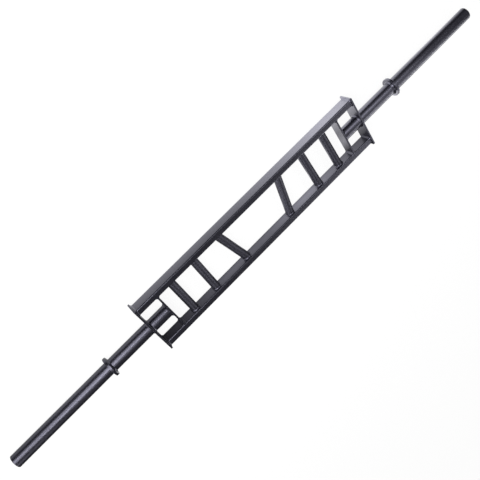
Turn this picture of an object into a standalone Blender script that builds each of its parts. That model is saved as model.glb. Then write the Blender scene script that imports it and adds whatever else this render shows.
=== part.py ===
"""Swiss bar: a multi-grip barbell, welded up from steel tube, pipe and flat bar.

Metres, +Z up. The bar's axis is X and its middle is the origin. The two rails run along X, the rear one
at +Y. Each loading sleeve is one pipe: it starts at a cross plate, passes through the end plate and a
welded collar, and carries on to the bar's end. Nothing on the bar turns or slides.
"""

import math

import bmesh
import bpy
from mathutils import Matrix

# Clearance left between pieces that touch
GAP = 0.0003

# Lengths along the bar, from its middle outwards; grips are measured at their centres on the bar's axis
INNER_GRIP_SPACING = 0.271
INNER_TO_MIDDLE_GRIP = 0.1395
MIDDLE_TO_OUTER_GRIP = 0.110
OUTER_GRIP_TO_CROSS_PLATE = 0.065
CROSS_PLATE_THICKNESS = 0.007
END_BAY_LENGTH = 0.083
END_PLATE_THICKNESS = 0.007
SHAFT_LENGTH = 0.183
COLLAR_THICKNESS = 0.010
SLEEVE_LENGTH = 0.435

# Grips, round tube
GRIP_DIAMETER = 0.032
GRIP_WALL = 0.003
INNER_GRIP_LEAN = math.radians(13.5)

# Rails, rectangular tube
RAIL_DEPTH = 0.050
RAIL_WIDTH = 0.025
RAIL_WALL = 0.003
RAIL_CORNER = 0.005
RAIL_CLEAR_SPAN = 0.162

# End plates over the rails' ends, and cross plates between the rails
END_PLATE_MARGIN = 0.007
END_PLATE_CORNER = 0.003
PLATE_EDGE = 0.0006

# Sleeves and shafts, one pipe on each side
PIPE_DIAMETER = 0.050
PIPE_WALL = 0.005
PIPE_END_ROUND = 0.0025
PLUG_THICKNESS = 0.006
PLUG_EDGE = 0.0008

# Collars that stop the weight plates
COLLAR_DIAMETER = 0.078
COLLAR_EDGE = 0.0012

# Weld beads: the leg is how far a bead reaches from the corner, and its face is a little hollow
GRIP_WELD_LEG = 0.004
PIPE_WELD_LEG = 0.005
ROOT_WELD_LEG = 0.007
COLLAR_WELD_LEG = 0.005
CROSS_WELD_LEG = 0.0065
CROSS_WELD_MARGIN = 0.001
RAIL_WELD_SETBACK = 0.0015
WELD_HOLLOW = 0.16

# How finely round shapes are divided
PIPE_STEPS = 48
GRIP_STEPS = 40
BEAD_STEPS = 32
BEAD_FACE_STEPS = 3
ROUND_STEPS = 3
SHARP_ANGLE = math.radians(35)

# Black satin coat: linear colour, roughness
COAT_ON_TUBE = ((0.030, 0.029, 0.036), 0.36)
COAT_ON_PLATE = ((0.032, 0.031, 0.038), 0.42)
COAT_ON_GRIP = ((0.024, 0.024, 0.028), 0.50)
COAT_ON_WELD = ((0.034, 0.033, 0.040), 0.34)
DARK_PLUG = ((0.020, 0.020, 0.023), 0.46)

# Places along the bar that follow, each measured from its middle
INNER_GRIP_PLACE = INNER_GRIP_SPACING / 2
MIDDLE_GRIP_PLACE = INNER_GRIP_PLACE + INNER_TO_MIDDLE_GRIP
OUTER_GRIP_PLACE = MIDDLE_GRIP_PLACE + MIDDLE_TO_OUTER_GRIP
CROSS_PLATE_INNER_FACE = OUTER_GRIP_PLACE + OUTER_GRIP_TO_CROSS_PLATE
CROSS_PLATE_OUTER_FACE = CROSS_PLATE_INNER_FACE + CROSS_PLATE_THICKNESS
END_PLATE_INNER_FACE = CROSS_PLATE_OUTER_FACE + END_BAY_LENGTH
END_PLATE_OUTER_FACE = END_PLATE_INNER_FACE + END_PLATE_THICKNESS
COLLAR_INNER_FACE = END_PLATE_OUTER_FACE + SHAFT_LENGTH
BAR_END = COLLAR_INNER_FACE + COLLAR_THICKNESS + SLEEVE_LENGTH

# Other sizes and places that follow
GRIP_RADIUS = GRIP_DIAMETER / 2
RAIL_LENGTH = 2 * (END_PLATE_INNER_FACE - GAP)
RAIL_INNER_FACE = RAIL_CLEAR_SPAN / 2
RAIL_CENTRE = RAIL_INNER_FACE + RAIL_WIDTH / 2
CROSS_WELD_LENGTH = RAIL_DEPTH - 2 * CROSS_WELD_MARGIN
RAIL_WELD_LEG = END_PLATE_MARGIN - RAIL_WELD_SETBACK
END_PLATE_WIDTH = RAIL_CLEAR_SPAN + 2 * (RAIL_WIDTH + END_PLATE_MARGIN)
END_PLATE_DEPTH = RAIL_DEPTH + 2 * END_PLATE_MARGIN
CROSS_PLATE_WIDTH = RAIL_CLEAR_SPAN - 2 * GAP
PIPE_RADIUS = PIPE_DIAMETER / 2
PIPE_BORE_RADIUS = PIPE_RADIUS - PIPE_WALL
PIPE_START = CROSS_PLATE_OUTER_FACE + GAP
PIPE_LENGTH = BAR_END - PIPE_START

SIDES = {"left": -1, "right": 1}
RAILS = {"rear": 1, "front": -1}
GRIPS = {
    "outer": (OUTER_GRIP_PLACE, 0.0),
    "middle": (MIDDLE_GRIP_PLACE, 0.0),
    "inner": (INNER_GRIP_PLACE, INNER_GRIP_LEAN),
}


def clear_scene():
    for item in list(bpy.data.objects):
        bpy.data.objects.remove(item)


def add_collection(name):
    collection = bpy.data.collections.new(name)
    bpy.context.scene.collection.children.link(collection)
    return collection


def add_coat(item, coat):
    """Gives an object its own painted finish."""
    colour, roughness = coat
    material = bpy.data.materials.new(item.name + "_coat")
    material.use_nodes = True
    shader = material.node_tree.nodes["Principled BSDF"]
    shader.inputs["Base Color"].default_value = (*colour, 1.0)
    shader.inputs["Roughness"].default_value = roughness
    shader.inputs["Metallic"].default_value = 0.0
    item.data.materials.clear()
    item.data.materials.append(material)


def add_part(name, mesh, coat, location=(0, 0, 0), rotation=(0, 0, 0)):
    """Places a named piece of the bar."""
    part = bpy.data.objects.new(name, mesh)
    part.location = location
    part.rotation_euler = rotation
    part.parent = bar
    parts.objects.link(part)
    mesh.shade_smooth()
    mesh.set_sharp_from_angle(angle=SHARP_ANGLE)
    add_coat(part, coat)
    return part


def add_cutter(name, mesh, location=(0, 0, 0), rotation=(0, 0, 0)):
    """Places a shape that only trims or bores a piece."""
    cutter = bpy.data.objects.new(name, mesh)
    cutter.location = location
    cutter.rotation_euler = rotation
    cutter.hide_render = True
    cutter.display_type = "WIRE"
    cutters.objects.link(cutter)
    return cutter


def trim(part, cutter, operation="DIFFERENCE"):
    boolean = part.modifiers.new(operation.lower(), "BOOLEAN")
    boolean.operation = operation
    boolean.object = cutter
    boolean.solver = "EXACT"


def ease_edges(part, width):
    """Breaks a plate's sharp edges."""
    bevel = part.modifiers.new("eased_edges", "BEVEL")
    bevel.width = width
    bevel.segments = 1
    bevel.limit_method = "ANGLE"
    bevel.angle_limit = math.radians(60)


def evaluated_mesh(item):
    """The finished mesh of a guide object, which is then removed."""
    bpy.context.view_layer.update()
    mesh = bpy.data.meshes.new_from_object(item.evaluated_get(bpy.context.evaluated_depsgraph_get()))
    bpy.data.objects.remove(item)
    welded = bmesh.new()
    welded.from_mesh(mesh)
    bmesh.ops.remove_doubles(welded, verts=welded.verts, dist=GAP / 100)
    welded.to_mesh(mesh)
    welded.free()
    return mesh


def runs_along_x(edge):
    first, last = edge.verts
    return abs(first.co.x - last.co.x) > GAP


def box_mesh(name, size, corner=0.0):
    """A box about its centre, with the edges that run along X rounded."""
    shape = bmesh.new()
    bmesh.ops.create_cube(shape, size=1.0, matrix=Matrix.Diagonal((*size, 1.0)))
    if corner:
        edges = [edge for edge in shape.edges if runs_along_x(edge)]
        bmesh.ops.bevel(
            shape, geom=edges, offset=corner, segments=ROUND_STEPS, profile=0.5, affect="EDGES"
        )
    mesh = bpy.data.meshes.new(name)
    shape.to_mesh(mesh)
    shape.free()
    return mesh


def turned_mesh(name, profile, steps, closed=True):
    """Turns a profile of (radius, height) points, outer side first and downwards, about Z."""
    outline = bpy.data.meshes.new(name)
    count = len(profile)
    edges = [(i, (i + 1) % count) for i in range(count if closed else count - 1)]
    outline.from_pydata([(radius, 0.0, height) for radius, height in profile], edges, [])
    guide = bpy.data.objects.new(name, outline)
    cutters.objects.link(guide)
    screw = guide.modifiers.new("turned", "SCREW")
    screw.angle = math.tau
    screw.steps = steps
    screw.render_steps = steps
    screw.use_merge_vertices = True
    screw.merge_threshold = GAP / 100
    return evaluated_mesh(guide)


def quarter_round(centre_radius, centre_height, round_radius, start, end):
    """Points on a quarter circle of a turned profile, from one angle to another."""
    points = []
    for step in range(ROUND_STEPS + 1):
        angle = start + (end - start) * step / ROUND_STEPS
        points.append(
            (centre_radius + round_radius * math.cos(angle), centre_height + round_radius * math.sin(angle))
        )
    return points


def bead_face(leg):
    """The hollow face of a weld bead, from its toe on the wall to its toe on the floor, as (out, up)."""
    points = []
    for step in range(BEAD_FACE_STEPS + 1):
        share = step / BEAD_FACE_STEPS
        hollow = WELD_HOLLOW * leg * math.sin(math.pi * share)
        points.append((leg * share - hollow, leg * (1 - share) - hollow))
    return points


def ring_bead_mesh(name, tube_radius, leg, steps, lean=0.0):
    """A bead round a tube that stands on a flat face at z = 0. The tube may lean towards +X."""
    root = tube_radius + GAP
    profile = [(root + out, up) for out, up in bead_face(leg)]
    profile.append((root, 0.0))
    mesh = turned_mesh(name, profile, steps)
    slant = Matrix.Identity(4)
    slant[0][0] = 1 / math.cos(lean)
    slant[0][2] = math.tan(lean)
    mesh.transform(slant)
    return mesh


def corner_bead_mesh(name, leg, length):
    """A straight bead along Z, in the corner between walls on the YZ plane and the XZ plane."""
    points = [(GAP, GAP)] + [(GAP + out, GAP + up) for out, up in reversed(bead_face(leg))]
    return outline_mesh(name, points, length)


def outline_mesh(name, points, length):
    """A flat closed outline given thickness along Z, about z = 0."""
    curve = bpy.data.curves.new(name, "CURVE")
    curve.dimensions = "2D"
    curve.fill_mode = "BOTH"
    curve.extrude = length / 2
    spline = curve.splines.new("POLY")
    spline.points.add(len(points) - 1)
    for point, (across, up) in zip(spline.points, points):
        point.co = (across, up, 0.0, 1.0)
    spline.use_cyclic_u = True
    guide = bpy.data.objects.new(name, curve)
    cutters.objects.link(guide)
    return evaluated_mesh(guide)


def rounded_rectangle(width, height, corner):
    """Points round a rectangle about the origin, anticlockwise, with round corners."""
    points = []
    for quarter in range(4):
        start = quarter * math.pi / 2
        across = (width / 2 - corner) * (1 if quarter in (0, 3) else -1)
        up = (height / 2 - corner) * (1 if quarter in (0, 1) else -1)
        for step in range(ROUND_STEPS + 1):
            angle = start + math.pi / 2 * step / ROUND_STEPS
            points.append((across + corner * math.cos(angle), up + corner * math.sin(angle)))
    return points


def frame_bead_mesh(name):
    """A bead all round a rail's end, standing on a flat face at z = 0, the rail's width along X."""
    face = bpy.data.curves.new(name + "_face", "CURVE")
    face.dimensions = "2D"
    section = face.splines.new("POLY")
    corner_points = [(0.0, 0.0)] + list(reversed(bead_face(RAIL_WELD_LEG)))
    section.points.add(len(corner_points) - 1)
    for point, (out, up) in zip(section.points, corner_points):
        point.co = (-out, up, 0.0, 1.0)
    section.use_cyclic_u = True
    face_guide = bpy.data.objects.new(name + "_face", face)
    cutters.objects.link(face_guide)

    path = bpy.data.curves.new(name, "CURVE")
    path.dimensions = "2D"
    path.fill_mode = "NONE"
    path.bevel_mode = "OBJECT"
    path.bevel_object = face_guide
    loop = path.splines.new("POLY")
    loop_points = rounded_rectangle(RAIL_WIDTH + 2 * GAP, RAIL_DEPTH + 2 * GAP, RAIL_CORNER + GAP)
    loop.points.add(len(loop_points) - 1)
    for point, (across, up) in zip(loop.points, loop_points):
        point.co = (across, up, 0.0, 1.0)
    loop.use_cyclic_u = True
    guide = bpy.data.objects.new(name, path)
    cutters.objects.link(guide)
    mesh = evaluated_mesh(guide)
    bpy.data.objects.remove(face_guide)
    return mesh


def build_pipe(side_name, side):
    """Loading sleeve and shaft in one pipe, with its end rounded over."""
    round_radius = PIPE_RADIUS - PIPE_END_ROUND
    round_height = PIPE_LENGTH - PIPE_END_ROUND
    profile = [(PIPE_BORE_RADIUS, PIPE_LENGTH)]
    profile += quarter_round(round_radius, round_height, PIPE_END_ROUND, math.pi / 2, 0.0)
    profile += [(PIPE_RADIUS, 0.0), (PIPE_BORE_RADIUS, 0.0)]
    mesh = turned_mesh(side_name + "_sleeve_pipe", profile, PIPE_STEPS)
    add_part(
        side_name + "_sleeve_pipe",
        mesh,
        COAT_ON_TUBE,
        location=(side * PIPE_START, 0, 0),
        rotation=(0, side * math.pi / 2, 0),
    )


def build_end_plug(side_name, side):
    """Disc that closes the pipe's open end, flush with it."""
    radius = PIPE_BORE_RADIUS - GAP
    profile = [
        (0.0, PLUG_THICKNESS),
        (radius - PLUG_EDGE, PLUG_THICKNESS),
        (radius, PLUG_THICKNESS - PLUG_EDGE),
        (radius, 0.0),
        (0.0, 0.0),
    ]
    mesh = turned_mesh(side_name + "_end_plug", profile, PIPE_STEPS, closed=False)
    add_part(
        side_name + "_end_plug",
        mesh,
        DARK_PLUG,
        location=(side * (BAR_END - PLUG_THICKNESS), 0, 0),
        rotation=(0, side * math.pi / 2, 0),
    )


def build_collar(side_name, side):
    """Flat ring with a rounded rim, welded on its inner face only. Plates lie flat on its outer face."""
    bore = PIPE_RADIUS + GAP
    rim = COLLAR_DIAMETER / 2
    quarter = math.pi / 2
    profile = quarter_round(rim - COLLAR_EDGE, COLLAR_THICKNESS - COLLAR_EDGE, COLLAR_EDGE, quarter, 0.0)
    profile += quarter_round(rim - COLLAR_EDGE, COLLAR_EDGE, COLLAR_EDGE, 0.0, -quarter)
    profile += [(bore, 0.0), (bore, COLLAR_THICKNESS)]
    mesh = turned_mesh(side_name + "_collar", profile, PIPE_STEPS)
    add_part(
        side_name + "_collar",
        mesh,
        COAT_ON_TUBE,
        location=(side * COLLAR_INNER_FACE, 0, 0),
        rotation=(0, side * math.pi / 2, 0),
    )
    add_pipe_bead(side_name + "_collar_weld", COLLAR_INNER_FACE, side, -1, COLLAR_WELD_LEG)


def add_pipe_bead(name, face, side, outward, leg):
    """A bead round the pipe against a face, on its outward side (1) or its inward side (-1)."""
    mesh = ring_bead_mesh(name, PIPE_RADIUS, leg, PIPE_STEPS)
    return add_part(
        name,
        mesh,
        COAT_ON_WELD,
        location=(side * (face + outward * GAP), 0, 0),
        rotation=(0, side * outward * math.pi / 2, 0),
    )


def build_end_plate(side_name, side):
    """Plate across both rails' ends, bored for the pipe and welded to it on both faces."""
    size = (END_PLATE_THICKNESS, END_PLATE_WIDTH, END_PLATE_DEPTH)
    mesh = box_mesh(side_name + "_end_plate", size, END_PLATE_CORNER)
    middle = side * (END_PLATE_INNER_FACE + END_PLATE_THICKNESS / 2)
    plate = add_part(side_name + "_end_plate", mesh, COAT_ON_PLATE, location=(middle, 0, 0))
    ease_edges(plate, PLATE_EDGE)
    name = side_name + "_pipe_hole"
    reach = 2 * END_PLATE_THICKNESS
    bore = PIPE_RADIUS + GAP
    profile = [(0.0, reach), (bore, reach), (bore, -reach), (0.0, -reach)]
    drill = turned_mesh(name, profile, PIPE_STEPS, closed=False)
    trim(plate, add_cutter(name, drill, location=(middle, 0, 0), rotation=(0, math.pi / 2, 0)))
    add_pipe_bead(side_name + "_end_plate_inner_weld", END_PLATE_INNER_FACE, side, -1, PIPE_WELD_LEG)
    add_pipe_bead(side_name + "_end_plate_outer_weld", END_PLATE_OUTER_FACE, side, 1, PIPE_WELD_LEG)


def build_cross_plate(side_name, side):
    """Plate between the rails that the pipe butts against, with its beads to the rails and the pipe."""
    size = (CROSS_PLATE_THICKNESS, CROSS_PLATE_WIDTH, RAIL_DEPTH)
    mesh = box_mesh(side_name + "_cross_plate", size)
    middle = CROSS_PLATE_INNER_FACE + CROSS_PLATE_THICKNESS / 2
    plate = add_part(side_name + "_cross_plate", mesh, COAT_ON_PLATE, location=(side * middle, 0, 0))
    ease_edges(plate, PLATE_EDGE)
    for rail_name, rail in RAILS.items():
        for face_name, face, outward in (
            ("inner", CROSS_PLATE_INNER_FACE, -1),
            ("outer", CROSS_PLATE_OUTER_FACE, 1),
        ):
            name = f"{side_name}_{rail_name}_cross_{face_name}_weld"
            bead = corner_bead_mesh(name, CROSS_WELD_LEG, CROSS_WELD_LENGTH)
            along = side * outward
            turn = {(1, -1): 0.0, (-1, -1): 1.0, (-1, 1): 2.0, (1, 1): 3.0}[(along, rail)]
            add_part(
                name,
                bead,
                COAT_ON_WELD,
                location=(side * face, rail * RAIL_INNER_FACE, 0),
                rotation=(0, 0, turn * math.pi / 2),
            )
        build_root_bead(side_name, side, rail_name, rail)


def build_root_bead(side_name, side, rail_name, rail):
    """Half of the bead round the pipe's root. It ends where the cross plate does, above and below."""
    name = f"{side_name}_{rail_name}_root_weld"
    bead = add_pipe_bead(name, CROSS_PLATE_OUTER_FACE, side, 1, ROOT_WELD_LEG)
    size = (4 * ROOT_WELD_LEG, PIPE_DIAMETER, RAIL_DEPTH - 2 * PLATE_EDGE)
    keep = box_mesh(name + "_reach", size)
    middle = (side * CROSS_PLATE_OUTER_FACE, rail * (PIPE_DIAMETER / 2 + GAP), 0)
    trim(bead, add_cutter(name + "_reach", keep, location=middle), "INTERSECT")


def build_rail(rail_name, rail):
    """Rectangular tube, open at its ends, with a bead where each end meets its end plate."""
    name = rail_name + "_rail"
    place = (0, rail * RAIL_CENTRE, 0)
    mesh = box_mesh(name, (RAIL_LENGTH, RAIL_WIDTH, RAIL_DEPTH), RAIL_CORNER)
    tube = add_part(name, mesh, COAT_ON_TUBE, place)
    hollow = (RAIL_LENGTH + 2 * RAIL_WIDTH, RAIL_WIDTH - 2 * RAIL_WALL, RAIL_DEPTH - 2 * RAIL_WALL)
    core = box_mesh(name + "_hollow", hollow, RAIL_CORNER - RAIL_WALL)
    trim(tube, add_cutter(name + "_hollow", core, place))
    for side_name, side in SIDES.items():
        bead_name = f"{side_name}_{rail_name}_rail_weld"
        add_part(
            bead_name,
            frame_bead_mesh(bead_name),
            COAT_ON_WELD,
            location=(side * (END_PLATE_INNER_FACE - GAP), rail * RAIL_CENTRE, 0),
            rotation=(math.pi / 2, 0, -side * math.pi / 2),
        )


def build_grip(side_name, side, grip_name, place, lean, rail_gap):
    """Round tube from rail to rail. A leaning grip's ends are cut to lie flat on the rails."""
    name = f"{side_name}_{grip_name}_grip"
    half = (RAIL_INNER_FACE - GAP) / math.cos(lean) + GRIP_DIAMETER * math.tan(lean)
    bore = GRIP_RADIUS - GRIP_WALL
    profile = [(GRIP_RADIUS, half), (GRIP_RADIUS, -half), (bore, -half), (bore, half)]
    mesh = turned_mesh(name, profile, GRIP_STEPS)
    middle = side * place
    grip = add_part(
        name, mesh, COAT_ON_GRIP, location=(middle, 0, 0), rotation=(-math.pi / 2, 0, -side * lean)
    )
    if lean:
        trim(grip, rail_gap, "INTERSECT")
    for rail_name, rail in RAILS.items():
        bead_name = f"{side_name}_{grip_name}_{rail_name}_weld"
        shift = side * rail * math.tan(lean)
        bead = ring_bead_mesh(bead_name, GRIP_RADIUS, GRIP_WELD_LEG, BEAD_STEPS, -side * rail * lean)
        seat = RAIL_INNER_FACE - GAP
        add_part(
            bead_name,
            bead,
            COAT_ON_WELD,
            location=(middle + shift * seat, rail * seat, 0),
            rotation=(rail * math.pi / 2, 0, 0),
        )


def build_bar():
    for rail_name, rail in RAILS.items():
        build_rail(rail_name, rail)
    between_rails = (RAIL_LENGTH, RAIL_CLEAR_SPAN - 2 * GAP, 2 * GRIP_DIAMETER)
    rail_gap = add_cutter("between_rails", box_mesh("between_rails", between_rails))
    for side_name, side in SIDES.items():
        build_end_plate(side_name, side)
        build_cross_plate(side_name, side)
        build_pipe(side_name, side)
        build_end_plug(side_name, side)
        build_collar(side_name, side)
        for grip_name, (place, lean) in GRIPS.items():
            build_grip(side_name, side, grip_name, place, lean, rail_gap)


clear_scene()
parts = add_collection("swiss_bar")
cutters = add_collection("cutters")
bar = bpy.data.objects.new("bar_axis", None)
parts.objects.link(bar)
build_bar()
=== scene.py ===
"""Swiss bar, dressed for its picture.

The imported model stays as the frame, and every piece of it is made again here with finer rounding, laid
weld beads and its own coat. Metres, +Z up. The bar's axis is X and its rear rail is at +Y.
"""

import logging
import math
from dataclasses import dataclass, field, replace
from enum import Enum
from typing import Any, Callable, Mapping, Optional, Sequence, Union

import bmesh
import bpy
from mathutils import Matrix, Vector, noise


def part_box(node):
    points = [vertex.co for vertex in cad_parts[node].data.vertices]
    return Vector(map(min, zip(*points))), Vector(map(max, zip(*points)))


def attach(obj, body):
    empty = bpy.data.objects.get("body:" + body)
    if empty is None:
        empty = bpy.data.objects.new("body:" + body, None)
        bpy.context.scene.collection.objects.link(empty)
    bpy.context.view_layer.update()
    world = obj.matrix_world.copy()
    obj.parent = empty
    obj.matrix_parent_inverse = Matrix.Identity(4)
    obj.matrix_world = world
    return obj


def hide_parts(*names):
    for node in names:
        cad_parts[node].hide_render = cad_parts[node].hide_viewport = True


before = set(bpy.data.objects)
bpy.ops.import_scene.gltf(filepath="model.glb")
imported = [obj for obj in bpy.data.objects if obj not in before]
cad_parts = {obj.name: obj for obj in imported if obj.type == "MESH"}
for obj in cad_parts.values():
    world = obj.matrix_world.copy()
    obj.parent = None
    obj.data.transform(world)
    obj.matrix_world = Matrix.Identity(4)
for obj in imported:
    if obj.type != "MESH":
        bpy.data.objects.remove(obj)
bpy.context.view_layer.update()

log = logging.getLogger("swiss_bar")

MM = 0.001
PIPE_RADIUS = 25.0 * MM
RAIL_CORNER = 5.0 * MM

# The one rigid body that every piece rides on
BODY = "root"

# Edges that turn by more than this stay sharp
SHARP_ANGLE = math.radians(38)

# How far large faces rule the shading at their edges; 50 is even
FLATS_WEIGHT = 60

# Stands in for zero where something is divided by a length or a sine
NEARLY_ZERO = 1e-9

# The value that a noise texture strays about
NOISE_MIDDLE = 0.5

# Metres from the bar's middle to the farther ring of lamps
FAR_LAMPS = 9.0

WHITE = (1.0, 1.0, 1.0, 1.0)
X_AXIS = Vector((1.0, 0.0, 0.0))
Y_AXIS = Vector((0.0, 1.0, 0.0))
Z_AXIS = Vector((0.0, 0.0, 1.0))

Ring = list[Vector]
Profile = Sequence[tuple[float, float]]
Colour = tuple[float, float, float]


class Side(Enum):
    """Which half of the bar, by the sign of X."""

    LEFT = -1
    RIGHT = 1

    @property
    def word(self) -> str:
        """The word that names of pieces start with."""
        return self.name.lower()


class RailPlace(Enum):
    """Which rail, by the sign of Y."""

    REAR = 1
    FRONT = -1

    @property
    def word(self) -> str:
        """The word used in names of pieces."""
        return self.name.lower()


class GripPlace(Enum):
    """Which grip of one half, from the bar's end inwards."""

    OUTER = "outer"
    MIDDLE = "middle"
    INNER = "inner"


class Lane(Enum):
    """Which of a weld bead's slow noises, by its place in the noise's space."""

    UP_LEG = 0.0
    OUT_LEG = 5.0
    PHASE = 9.0


class Slot(Enum):
    """The bar's material slots."""

    RAIL = "rail_coat"
    SLEEVE = "sleeve_coat"
    PLATE = "plate_coat"
    GRIP = "grip_coat"
    WELD = "weld_coat"
    PLUG = "plug_plastic"


# Shader graphs


class Wire:
    """An output socket that takes part in sums of numbers."""

    def __init__(self, graph: "Graph", socket: bpy.types.NodeSocket) -> None:
        """Keeps the socket and the graph that new nodes go into."""
        self.graph = graph
        self.socket = socket

    def _maths(self, operation: str, first: "Feed", second: "Feed") -> "Wire":
        """Adds one Math node.

        Args:
            operation: Blender's name for the sum.
            first: The left-hand value.
            second: The right-hand value.

        Returns:
            The node's output.
        """
        return self.graph.node("ShaderNodeMath", {"operation": operation}, {0: first, 1: second})[0]

    def __add__(self, other: "Feed") -> "Wire":
        """Wire + value."""
        return self._maths("ADD", self, other)

    def __radd__(self, other: "Feed") -> "Wire":
        """Value + wire."""
        return self._maths("ADD", other, self)

    def __sub__(self, other: "Feed") -> "Wire":
        """Wire - value."""
        return self._maths("SUBTRACT", self, other)

    def __rsub__(self, other: "Feed") -> "Wire":
        """Value - wire."""
        return self._maths("SUBTRACT", other, self)

    def __mul__(self, other: "Feed") -> "Wire":
        """Wire * value."""
        return self._maths("MULTIPLY", self, other)

    def __rmul__(self, other: "Feed") -> "Wire":
        """Value * wire."""
        return self._maths("MULTIPLY", other, self)

    def at_least(self, other: "Feed") -> "Wire":
        """The larger of the two."""
        return self._maths("MAXIMUM", self, other)


Feed = Union[Wire, float, Sequence[float]]


class Added:
    """A node that has just been added; its outputs are taken by name or number."""

    def __init__(self, graph: "Graph", node: bpy.types.Node) -> None:
        """Keeps the node and its graph."""
        self.graph = graph
        self.bpy_node = node

    def __getitem__(self, output: Union[int, str]) -> Wire:
        """One output, as a wire."""
        return Wire(self.graph, self.bpy_node.outputs[output])


class Graph:
    """The node tree of one material or world, emptied and built again."""

    def __init__(self, tree: bpy.types.NodeTree) -> None:
        """Empties the tree."""
        self.tree = tree
        tree.nodes.clear()

    def node(
        self,
        kind: str,
        settings: Optional[Mapping[str, Any]] = None,
        sockets: Optional[Mapping[Union[int, str], Feed]] = None,
    ) -> Added:
        """Adds a node of any kind.

        Args:
            kind: The node's Blender type.
            settings: Its options by name, set first; "stops" gives a ramp's places and grey levels.
            sockets: Values or wires for its inputs, by name or number.

        Returns:
            The node, ready to take outputs from.
        """
        made = self.tree.nodes.new(kind)
        for name, value in (settings or {}).items():
            if name == "stops":
                self._set_stops(made.color_ramp, value)
            else:
                setattr(made, name, value)
        for name, value in (sockets or {}).items():
            if isinstance(value, Wire):
                self.tree.links.new(value.socket, made.inputs[name])
            else:
                made.inputs[name].default_value = value
        return Added(self, made)

    @staticmethod
    def _set_stops(ramp: bpy.types.ColorRamp, stops: Sequence[tuple[float, float]]) -> None:
        """Gives a ramp its stops.

        Args:
            ramp: The ramp of a new node.
            stops: Each stop's place and grey level, in order.
        """
        while len(ramp.elements) > 1:
            ramp.elements.remove(ramp.elements[-1])
        for number, (place, level) in enumerate(stops):
            element = ramp.elements[0] if number == 0 else ramp.elements.new(place)
            element.position = place
            element.color = (level, level, level, 1.0)

    def climb(self, value: Feed, limits: tuple[float, float]) -> Wire:
        """A number that climbs evenly from 0 to 1 while another passes between two limits.

        Args:
            value: The other number.
            limits: Where the climb starts and where it ends.

        Returns:
            The climbing number.
        """
        stops = tuple(zip(limits, (0.0, 1.0)))
        return self.node("ShaderNodeValToRGB", {"stops": stops}, {"Fac": value})[0]

    def mix(self, share: Feed, first: Feed, second: Feed) -> Wire:
        """A colour between two others.

        Args:
            share: How much of the second colour there is, 0 to 1.
            first: The colour at 0.
            second: The colour at 1.

        Returns:
            The mixed colour.
        """
        return self.node("ShaderNodeMix", {"data_type": "RGBA"}, {0: share, 6: first, 7: second})[2]

    def blend(self, share: Feed, first: Feed, second: Feed) -> Wire:
        """Two shaders mixed, with the second one's share from 0 to 1."""
        return self.node("ShaderNodeMixShader", {}, {0: share, 1: first, 2: second})[0]

    def stretch(self, place: Feed, scale: Sequence[float]) -> Wire:
        """Multiplies a place by a scale on each axis."""
        return self.node("ShaderNodeVectorMath", {"operation": "MULTIPLY"}, {0: place, 1: scale})[0]

    def cloud(self, place: Feed, size: float, detail: float = 2.0, roughness: float = 0.5) -> Wire:
        """Soft noise about 0.5.

        Args:
            place: Where on the piece.
            size: Distance in metres between one blot and the next.
            detail: How many finer layers are added.
            roughness: How strong the finer layers are.

        Returns:
            The noise as a number.
        """
        values = {"Vector": place, "Scale": 1.0 / size, "Detail": detail, "Roughness": roughness}
        return self.node("ShaderNodeTexNoise", {}, values)["Fac"]


def opaque(colour: Colour) -> tuple[float, float, float, float]:
    """A colour with full cover."""
    return (*colour, 1.0)


# Finishes


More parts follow.
